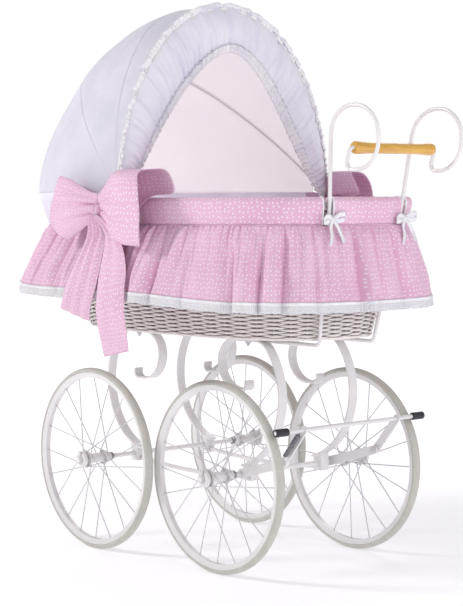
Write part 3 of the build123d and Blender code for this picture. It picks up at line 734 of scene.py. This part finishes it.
def arch_curve(half, height, count):
    """Three-centred arch from the right foot over to the left, as the hoops have."""
    crown = 0.77 * half
    lift = height - crown
    flank = (half**2 - crown**2 + lift**2) / (2 * (half - crown))
    turn = atan2(lift, flank - half)
    a = np.linspace(0, turn, 300)
    y1, r1 = half - flank + flank * np.cos(a), flank * np.sin(a)
    b = np.linspace(turn, pi - turn, 300)
    y2, r2 = crown * np.cos(b), lift + crown * np.sin(b)
    return even_curve(np.concatenate([y1, y2, -y1[::-1]]), np.concatenate([r1, r2, r1[::-1]]), count)


def base_curve(count):
    """The rim's outline behind the pivots, as (Y, distance behind the pivots)."""
    half_x, half_y, middle = wall(PIVOT_Z, 0.0158)
    start = np.arccos(((PIVOT_X - middle) / half_x) ** (POWER / 2))
    x, y, _, _ = oval(half_x, half_y, middle, np.linspace(start, 2 * pi - start, 2000))
    return even_curve(y, PIVOT_X - x, count)


def superarch(half, height, power_y, power_z, count):
    a = np.linspace(0, pi, 4000)
    y = half * np.sign(np.cos(a)) * abs(np.cos(a)) ** (2 / power_y)
    return even_curve(y, height * np.clip(np.sin(a), 0, 1) ** (2 / power_z), count)


COLS = 260


def hood_row(lean, slack):
    """Cloth at one lean angle. slack is 0 at a hoop and 1 halfway between two."""
    half = np.interp(lean, HOODS[:, 0], HOODS[:, 1])
    height = np.interp(lean, HOODS[:, 0], HOODS[:, 2])
    y, r = arch_curve(half, height, COLS)
    base_y, base_r = base_curve(COLS)
    w = ease((lean - 50) / 40)
    y, r = lerp(y, base_y, w), lerp(r, base_r, w)
    across = np.linspace(0, 1, COLS)
    sag = 0.012 * slack * np.sin(pi * across) ** 0.6
    pull = folds_a * np.sin(lean / 9.0 + across * 9) + folds_b * np.cos(lean / 5.0 - across * 14)
    grow = 1 - sag + pull * slack * 0.004
    a = radians(lean)
    r = np.maximum(r, 0.004)
    x = PIVOT_X - r * grow * sin(a)
    z = PIVOT_Z + r * grow * cos(a)
    return np.stack([x, y * (1 - sag * 0.5 + pull * slack * 0.003), z], -1)


across = np.linspace(0, 1, COLS)
folds_a = waves(across, 1, 0.30, 0.3, 3, False)
folds_b = waves(across, 1, 0.13, 0.3, 3, False)


def canopy(name, low, high, rows, node):
    leans = np.linspace(low, high, rows)
    slack = np.sin(pi * (leans - low) / (high - low))
    if high == 90:
        slack = slack * np.linspace(1, 0.35, rows)
    # The rear panel stops short of the pivots, where the middle hoop comes down on it
    feet = slice(7, -7) if high == 90 else slice(None)
    points = np.array([hood_row(lean, s) for lean, s in zip(leans, slack)])[:, feet]
    run = np.linspace(0, 1.25, COLS)[feet]
    uv = np.stack(np.broadcast_arrays(run[None], (np.radians(leans) * 0.45)[:, None]), -1)
    # Inner faces take the lighter glowing voile, outer faces the lavender-grey one: painted light and painted
    # shade on one cloth.
    piece = surface(name, points, None, voile_in, uv=uv, thick=0.0014, extra=[voile_out],
        replaces=[node])
    piece.modifiers["thickness"].material_offset = 1
    # The vertices are set to the cloth's lean angle, baked through the object's transform, and then set back to
    # their real positions
    real = points.reshape(-1, 3).ravel()
    angles = np.zeros_like(points)
    angles[..., 0] = leans[:, None]
    piece.data.vertices.foreach_set("co", angles.ravel())
    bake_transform(piece)
    piece.data.vertices.foreach_set("co", real)
    piece.data.update()
    return piece


front = canopy("canopy_front", 0, 14, 12, "hood_canopy_front")
middle = canopy("canopy_middle", 14, 50, 26, "hood_canopy_middle")
rear = canopy("canopy_rear", 50, 90, 34, "hood_canopy_rear")

# Ruffle: a gathered ring from the inner lace to the outer one
RUFFLE_COLS = 900
in_y, in_z = superarch(0.286, 0.323, 1.80, 0.82, RUFFLE_COLS)
out_y, out_z = superarch(0.301, 0.4215, 2.05, 2.05, RUFFLE_COLS)
ring_run = np.linspace(0, 1.0, RUFFLE_COLS)
gather = waves(ring_run, 1.0, 0.0135, 0.35, 4, False)
gather_wide = waves(ring_run, 1.0, 0.034, 0.4, 4, False)
in_x = -0.025 * (in_z / 0.323) + 0.036 * (in_z / 0.323) ** 2
out_x = 0.004 - 0.004 * out_z / 0.4215


def ruffle_row(q):
    """q is 0 at the inner edge and 1 at the outer one."""
    y, z = lerp(in_y, out_y, q), lerp(in_z, out_z, q)
    ripple = gather * 0.0030 * (1 - 0.75 * ease((q - 0.25) / 0.5)) + gather_wide * 0.0034 * ease(q * 1.6)
    crown = 0.020 * sin(pi * min(max(q * 1.05, 0), 1)) ** 0.8 * np.clip(np.hypot(out_y - in_y,
        out_z - in_z) / 0.07, 0.15, 1)
    x = MID + lerp(in_x, out_x, q) + crown + ripple
    shrink = 1 - 0.012 * gather_wide * q
    return np.stack([x, y * shrink**0.4, 0.770 + z * (1 + 0.003 * gather_wide * q)], -1)


def clip_feet(rows, low=0.7745):
    """The ring's feet end just above the band."""
    rows[..., 2] = np.maximum(rows[..., 2], low)
    return rows


qs = np.linspace(0, 1, 18)
ruffle = surface("hood_ruffle_cloth", clip_feet(np.array([ruffle_row(q) for q in qs])), "hood_front", frill_voile,
                 uv=np.stack(np.broadcast_arrays((ring_run * 1.8)[None], (qs * 0.09)[:, None]), -1),
                     replaces=["hood_ruffle"])


def lace_trim(name, q_from, q_to, pitch, depth, body, forward):
    """Narrow ruched lace along the ring at this share of its width."""
    frill = np.sin(2 * pi * ring_run / pitch + 1.5 * np.sin(2 * pi * ring_run / (pitch * 5.3)))
    rows = []
    for v in np.linspace(0, 1, 7):
        row = ruffle_row(lerp(q_from, q_to, v))
        row[:, 0] += forward + depth * frill * sin(pi * (0.15 + 0.85 * v)) + 0.003 * sin(pi * v)
        rows.append(row)
    uv = np.stack(np.broadcast_arrays((ring_run * 2.2)[None], np.linspace(0, 0.014, 7)[:, None]), -1)
    return surface(name, clip_feet(np.array(rows), 0.774), body, lace_trim_cloth, uv=uv, thick=0.0008)


lace_trim_cloth = plain_cloth("white_lace_trim", (0.95, 0.94, 0.96), (0.80, 0.79, 0.86), 500, 0.6, rumple=0.0012)
lace_trim("hood_inner_lace", 0.12, -0.06, 0.0085, 0.0030, "hood_front", 0.004)
lace_trim("hood_outer_lace", 0.93, 1.03, 0.0095, 0.0028, "hood_front", 0.0035)
tube("hood_gather_cord", ruffle_row(0.14)[6:-6] + np.array([0.0022, 0, 0]), 0.0013, "hood_front", frill_voile,
    sides=6)

# Hood's lower edge over the band, with its own frill
hem_start = 0.262
t = even_turns(620, hem_start, 1 - hem_start, closed=False)
s = np.linspace(0, 1.16, 620)
hem_wave = waves(s, 1.16, 0.021, 0.35, 4, False)
hem_fine = waves(s, 1.16, 0.0090, 0.2, 2, False)
levels = []
for v in np.linspace(0, 1, 12):
    z = lerp(0.787, 0.7215, v)
    levels.append((z + 0.0009 * hem_wave * v, 0.0160 + 0.0028 * hem_wave * ease(v * 1.4) + 0.0015 * sin(pi * v)
        + 0.0012 * hem_fine * v))
levels.append((0.7185 - 0.0012 * abs(np.sin(pi * s / 0.009)), 0.0175 + 0.0035 * hem_wave + 0.002 * hem_fine))
hood_hem = surface("hood_hem_frill", ring_rows(t, levels), "chassis", frill_voile,
                   uv=np.stack(np.broadcast_arrays((s * 1.3)[None], np.linspace(0, 0.07, 13)[:, None]), -1),
                       replaces=["hood_hem"])


# ---- Bows ----
def round_ring(points, count):
    """Closed smooth curve through control points, evenly spaced in their own order."""
    p = np.asarray(points, float)
    p = np.concatenate([p[-2:], p, p[:2]])
    at = np.linspace(0, len(points), count, endpoint=False)
    i = at.astype(int) + 2
    f = (at - at.astype(int))[:, None]
    a, b, c, d = p[i - 1], p[i], p[i + 1], p[(i + 2) % len(p)]
    return 0.5 * (2 * b + (c - a) * f + (2 * a - 5 * b + 4 * c - d) * f**2 + (3 * b - a - 3 * c + d) * f**3)


def bow_loop(name, side, mouth, top, bottom, creases):
    """Ribbon loop from the knot to its open mouth. mouth goes from the bottom fold up the front and down the
    back, as (X, |Y|, Z). top and bottom say how soon the loop reaches its full height."""
    count, rows_n = 84, 28
    ring = round_ring(mouth, count)
    low, high = ring[:, 2].min(), ring[:, 2].max()
    up = (ring[:, 2] - low) / (high - low)
    front = np.clip((ring[:, 1] - 0.300) / 0.030, -1, 1)
    knot = np.stack([-0.038 + 0 * up, 0.3185 + 0.0045 * front, lerp(0.732, 0.781, up)], -1)
    rows = []
    for r in np.linspace(0, 1, rows_n):
        flare = lerp(np.interp(r, *bottom), np.interp(r, *top), up)
        x = lerp(knot[:, 0], ring[:, 0], r)
        y = lerp(knot[:, 1], ring[:, 1], ease(r * 1.15) ** 0.8)
        z = lerp(knot[:, 2], ring[:, 2], flare)
        puff = 0.009 * sin(pi * r**0.8) * np.clip(front, -0.4, 1) * np.sin(pi * np.clip(up, 0.02, 0.98)) ** 0.5
        fold = 0
        for at, width, deep in creases:
            fold = fold - deep * np.exp(-(((up - at) / (width * (0.35 + r))) ** 2)) * (1 - r) ** 0.7 * min(1,
                r * 7)
        fold = fold + 0.0011 * np.sin(up * 26 + 2) * (1 - r) * min(1, r * 6)
        rows.append(np.stack([MID + x, side * np.clip(y + puff + fold * np.clip(front + 0.3, 0, 1), 0.26, 0.344),
            z], -1))
    uv = np.stack(np.broadcast_arrays(np.linspace(0, 0.44, count + 1)[None],
        np.linspace(0, 0.15, rows_n)[:, None]), -1)
    return surface(name, np.array(rows), None, bow_cotton, closed=True, uv=uv, thick=0.0010)


def bow_tail(name, side, left, right, folds, drop):
    """Hanging end of ribbon between two edges given as (X, Z) from the knot down."""
    rows_n, cols_n = 46, 44
    left, right = smooth_path([(*p, 0) for p in left], rows_n), smooth_path([(*p, 0) for p in right], rows_n)
    u = np.linspace(0, 1, cols_n)
    points = np.zeros((rows_n, cols_n, 3))
    for i in range(rows_n):
        v = i / (rows_n - 1)
        edge = lerp(left[i], right[i], u[:, None])
        fold = sum(h * np.exp(-(((u - at) / (w * (0.6 + 0.6 * v))) ** 2)) for at, w, h in folds) * (1 - drop * v)
        skirt_y = np.interp(edge[:, 1], [HEM, BAND_LOW], [0.3440, 0.300])
        hang = np.maximum(lerp(0.333, skirt_y + 0.004, ease(v * 3.0)), skirt_y + 0.003)
        points[i] = np.stack([MID + edge[:, 0], side * np.clip(hang + fold * min(1, 0.3 + v * 5), 0.31, 0.366),
            edge[:, 1]], -1)
    uv = np.stack(np.broadcast_arrays(np.linspace(0, 0.12, cols_n)[None], np.linspace(0, 0.30, rows_n)[:, None]),
        -1)
    return surface(name, points, None, bow_cotton, uv=uv, thick=0.0010)


def bow_knot(name, side):
    """Pinched wrap round the middle of the bow."""
    a = np.linspace(0, 2 * pi, 56, endpoint=False)
    rows = []
    for u in np.linspace(-1, 1, 17):
        swell = max(1 - abs(u) ** 2.4, 0.0) ** 0.5
        crease = 1 + 0.10 * np.sin(u * 11 + a) + 0.07 * np.sin(u * 19 - 2 * a)
        z = 0.7455 + 0.0150 * (0.35 + 0.65 * swell) * crease * np.sin(a) + 0.003 * np.sin(u * 4)
        y = 0.3230 + 0.0130 * (0.15 + 0.85 * swell) * crease * np.cos(a)
        rows.append(np.stack([MID - 0.038 + 0.0115 * u + 0.002 * np.sin(3 * a), side * y, z], -1))
    return surface(name, np.array(rows), None, bow_cotton, closed=True)


for side_name, side in (("left", -1), ("right", 1)):
    parts = [
        bow_knot("knot", side),
        bow_loop("loop_hood", side,
                 [(-0.151, 0.318, 0.684), (-0.178, 0.328, 0.698), (-0.197, 0.332, 0.722), (-0.193, 0.334, 0.752),
                     (-0.179, 0.333, 0.785),
                  (-0.174, 0.322, 0.820), (-0.160, 0.306, 0.800), (-0.165, 0.299, 0.760), (-0.160, 0.299, 0.720),
                      (-0.150, 0.308, 0.693)],
                 ((0, 0.2, 0.45, 0.7, 1), (0, 0.12, 0.42, 0.78, 1)), ((0, 0.15, 0.6, 1), (0, 0.10, 0.56, 1)),
                 [(0.56, 0.10, 0.013), (0.22, 0.08, 0.010), (0.82, 0.09, 0.006)]),
        bow_loop("loop_handle", side,
                 [(0.100, 0.322, 0.674), (0.115, 0.335, 0.700), (0.120, 0.338, 0.745), (0.114, 0.337, 0.795),
                     (0.104, 0.326, 0.823), (0.108, 0.298, 0.830),
                  (0.118, 0.268, 0.829), (0.135, 0.263, 0.806), (0.142, 0.268, 0.781), (0.100, 0.288, 0.775),
                      (0.058, 0.292, 0.745), (0.070, 0.298, 0.702)],
                 ((0, 0.13, 0.27, 0.39, 0.6, 1), (0, 0.25, 0.62, 1.0, 1.0, 1)),
                     ((0, 0.19, 0.31, 0.41, 0.64, 1), (0, 0.22, 0.52, 0.78, 0.96, 1)),
                 [(0.62, 0.07, 0.008), (0.36, 0.07, 0.007), (0.12, 0.06, 0.005)]),
        bow_tail("tail_long", side, [(-0.040, 0.738), (-0.024, 0.7066), (-0.026, 0.6653), (-0.024, 0.597),
            (-0.011, 0.5269), (0.0, 0.486), (0.014, 0.4455)],
                 [(-0.028, 0.738), (0.000, 0.7212), (0.036, 0.6726), (0.061, 0.6263), (0.069, 0.5858),
                     (0.084, 0.5316), (0.092, 0.4913), (0.096, 0.4621)],
                 [(0.22, 0.20, 0.005), (0.72, 0.25, 0.007)], 0.6),
        bow_tail("tail_short", side, [(-0.050, 0.738), (-0.083, 0.6998), (-0.114, 0.6425), (-0.134, 0.5932),
            (-0.138, 0.5504), (-0.138, 0.5398)],
                 [(-0.034, 0.738), (-0.024, 0.7169), (-0.028, 0.6652), (-0.028, 0.6092), (-0.034, 0.555),
                     (-0.036, 0.5173)],
                 [(0.16, 0.12, 0.007), (0.50, 0.12, 0.010), (0.84, 0.10, 0.009)], 0.35),
    ]
    bow = join(f"bow_{side_name}_cloth", parts)
    finish_piece(bow, "chassis", [f"bow_{side_name}"])


# ---- Ribbon ties on the wires ----
def ribbon(name, points, width_along, width=0.008):
    path = smooth_path(points, 30)
    w = np.array(width_along, float)
    rows = np.array([path - w * width / 2, path - w * width / 6 + 0.0005, path + w * width / 6 + 0.0005,
        path + w * width / 2])
    return surface(name, rows, None, white_satin, thick=0.0006)


for side_name, side in (("left", -1), ("right", 1)):
    x, y, z = MID + 0.4335, side * 0.103, 0.7285

    def at(dx, dy, dz):
        return (x + dx, y + dy, z + dz)

    tie = [
        ribbon("loop_a", [at(0, 0, 0), at(0.006, 0.012, 0.008), at(0.007, 0.026, 0.010), at(0.004, 0.029, 0.001),
            at(0.002, 0.016, -0.003), at(0, 0, 0)], (0, 0, 1), 0.010),
        ribbon("loop_b", [at(0, 0, 0), at(0.006, -0.012, 0.005), at(0.007, -0.025, 0.004),
            at(0.004, -0.028, -0.005), at(0.002, -0.015, -0.005), at(0, 0, 0)], (0, 0, 1), 0.010),
        ribbon("tail_a", [at(0.001, 0, 0), at(0.006, 0.008, -0.014), at(0.010, 0.014, -0.030),
            at(0.016, 0.017, -0.046)], (0, 1, 0.2), 0.008),
        ribbon("tail_b", [at(0.001, 0, 0), at(0.006, -0.010, -0.016), at(0.012, -0.013, -0.034),
            at(0.017, -0.022, -0.052)], (0, 1, -0.2), 0.008),
        tube("wrap", [at(-0.001, -0.004, 0), at(0.002, 0, 0.0006), at(-0.001, 0.004, 0)], 0.0042, None,
            white_satin, sides=10),
        ribbon("strap", [at(-0.004, 0.013, 0.001), at(0.001, 0.006, 0), at(0.001, -0.006, 0),
            at(-0.004, -0.013, 0.001)], (0, 0, 1), 0.006),
    ]
    tie = join(f"ribbon_tie_{side_name}", tie)
    finish_piece(tie, "chassis", ["ribbon_ties"] if side < 0 else [])

# ---- Brake's coil spring ----
pivot, bar = np.array([MID + 0.324, -0.142, 0.239]), np.array([MID + 0.384, -0.142, 0.311])
run = bar - pivot
length = np.linalg.norm(run)
run = run / length
across_y = np.array([0.0, 1.0, 0.0])
third = np.cross(run, across_y)
coil_from, coil_to, coil_turns = 0.020, length - 0.014, 26
steps = coil_turns * 14
angle = np.linspace(0, 2 * pi * coil_turns, steps)
along = np.linspace(coil_from, coil_to, steps)
path = pivot + run * along[:, None] + 0.0040 * (across_y * np.cos(angle)[:, None]
    + third * np.sin(angle)[:, None])
head = pivot + run * np.array([[0.012], [0.016]])
tail = pivot + run * np.array([[length - 0.010], [length - 0.0055]])
tube("brake_coil", np.concatenate([head, path, tail]), 0.0009, "brake", coil_steel, sides=6,
    replaces=["brake_spring"])


# ---- Floor, light and camera ----
def studio():
    floor_mesh = bpy.data.meshes.new("floor")
    floor_mesh.from_pydata([(-9, -9, 0), (9, -9, 0), (9, 9, 0), (-9, 9, 0)], [], [(0, 1, 2, 3)])
    floor = bpy.data.objects.new("floor", floor_mesh)
    bpy.context.collection.objects.link(floor)
    n = Nodes("pale_floor", Roughness=0.9)
    n.colour(n.ramp(n.noise(n.place(), 0.6), (0.3, (0.88, 0.87, 0.91)), (0.7, (0.90, 0.895, 0.92))))
    # Painted light: the floor glows, weakest under the pram in the middle and stronger further out, so the far
    # floor meets the white background.
    n.shader.inputs["Emission Color"].default_value = (0.98, 0.98, 1.0, 1)
    glow_falloff = n.add("TexGradient", {"gradient_type": "SPHERICAL"},
        Vector=n.add("Mapping", Vector=n.place(), Scale=(0.28, 0.28, 1.0)).outputs[0]).outputs["Fac"]
    n.link(n.math("SUBTRACT", 0.70, n.math("MULTIPLY", n.math("POWER", glow_falloff, 0.6), 0.42)), "Emission Strength")
    floor_mesh.materials.append(n.material)
    for name, where, size, power, colour in (
        ("key", (-2.3, -3.0, 2.7), 0.9, 76, (1.0, 0.985, 0.97)),
        ("fill", (3.6, -0.4, 1.5), 2.4, 38, (0.98, 0.97, 1.0)),
        ("back", (-1.6, 3.0, 3.0), 2.0, 22, (0.97, 0.98, 1.0)),
    ):
        light = bpy.data.lights.new(name, "AREA")
        light.energy = power
        light.size = size
        light.color = colour
        lamp = bpy.data.objects.new(name, light)
        lamp.location = where
        aim = Matrix.Translation((0, 0, 0.6)).translation - lamp.location
        lamp.rotation_euler = aim.to_track_quat("-Z", "Y").to_euler()
        bpy.context.collection.objects.link(lamp)
    world = bpy.data.worlds.new("white_room")
    world.use_nodes = True
    world.node_tree.nodes["Background"].inputs["Color"].default_value = (1, 1, 1, 1)
    tree = world.node_tree
    seen = tree.nodes.new("ShaderNodeLightPath").outputs["Is Camera Ray"]
    strength = tree.nodes.new("ShaderNodeMapRange")
    strength.inputs["To Min"].default_value, strength.inputs["To Max"].default_value = 0.45, 1.0
    tree.links.new(seen, strength.inputs["Value"])
    tree.links.new(strength.outputs["Result"], tree.nodes["Background"].inputs["Strength"])
    bpy.context.scene.world = world
    bpy.context.scene.view_settings.view_transform = "Standard"


def camera():
    """The photograph's view, 3.8 m away: a long lens, nearly level, from the handle end's left."""
    data = bpy.data.cameras.new("camera")
    data.sensor_width = 36
    data.lens = 100.17
    data.clip_end = 50
    made = bpy.data.objects.new("camera", data)
    turn = Matrix.Rotation(0.852, 4, "Z") @ Matrix.Rotation(pi / 2 - 0.060, 4, "X") @ Matrix.Rotation(-0.004, 4,
        "Z")
    made.matrix_world = Matrix.Translation((2.7918 + MID, -2.4304, 0.7637)) @ turn
    bpy.context.collection.objects.link(made)
    bpy.context.scene.camera = made


studio()
camera()
